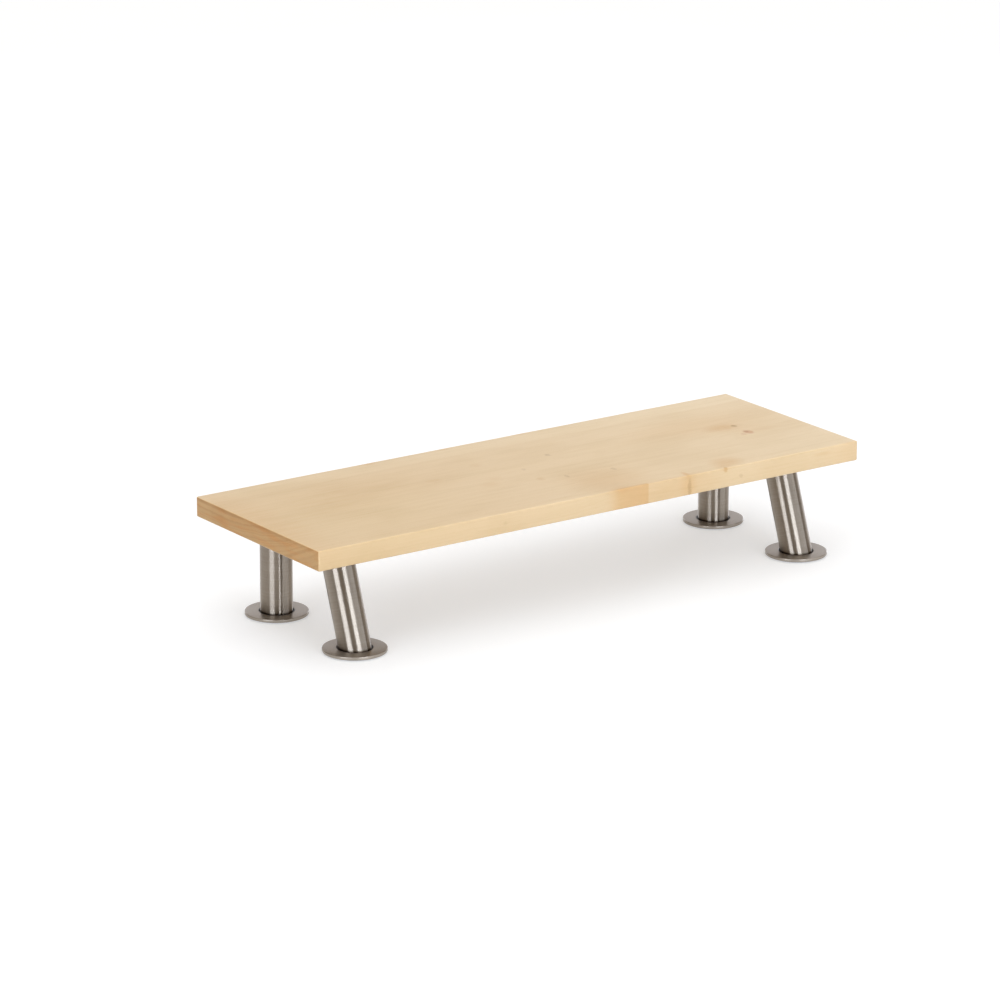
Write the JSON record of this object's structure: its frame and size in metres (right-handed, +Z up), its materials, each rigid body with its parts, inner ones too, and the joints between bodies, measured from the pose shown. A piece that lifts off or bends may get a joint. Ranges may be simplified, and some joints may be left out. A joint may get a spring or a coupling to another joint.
{
  "type": "display riser",
  "caption": "Low rectangular wooden display riser: a pale plank on brushed steel tube legs with flat round feet, for raising food or goods above a counter.",
  "frame": {"origin": "on the surface that the riser stands on, under the centre of its bounding box", "axes": "+X along the board to the right, +Y to the back, +Z up; the leaning legs are at the front, towards -Y"},
  "size_m": [0.6096, 0.209, 0.109],
  "materials": {
    "maple": "satin clear coat over pale maple, grain along the length, a few small knots",
    "brushed_steel": "brushed stainless steel, brushed round the tubes and the discs",
    "screw_steel": "plain stainless steel",
    "pad_rubber": "matt grey silicone rubber"
  },
  "bodies": {
    "root": {"board": "maple", "front_left_tube": "brushed_steel", "front_left_foot": "brushed_steel", "front_left_foot_pad": "pad_rubber", "front_left_top_plate": "brushed_steel", "front_left_screw_1": "screw_steel", "front_left_screw_2": "screw_steel", "front_left_screw_3": "screw_steel", "front_right_tube": "brushed_steel", "front_right_foot": "brushed_steel", "front_right_foot_pad": "pad_rubber", "front_right_top_plate": "brushed_steel", "front_right_screw_1": "screw_steel", "front_right_screw_2": "screw_steel", "front_right_screw_3": "screw_steel", "rear_left_tube": "brushed_steel", "rear_left_foot": "brushed_steel", "rear_left_foot_pad": "pad_rubber", "rear_left_top_plate": "brushed_steel", "rear_left_screw_1": "screw_steel", "rear_left_screw_2": "screw_steel", "rear_left_screw_3": "screw_steel", "rear_right_tube": "brushed_steel", "rear_right_foot": "brushed_steel", "rear_right_foot_pad": "pad_rubber", "rear_right_top_plate": "brushed_steel", "rear_right_screw_1": "screw_steel", "rear_right_screw_2": "screw_steel", "rear_right_screw_3": "screw_steel"}
  },
  "joints": []
}
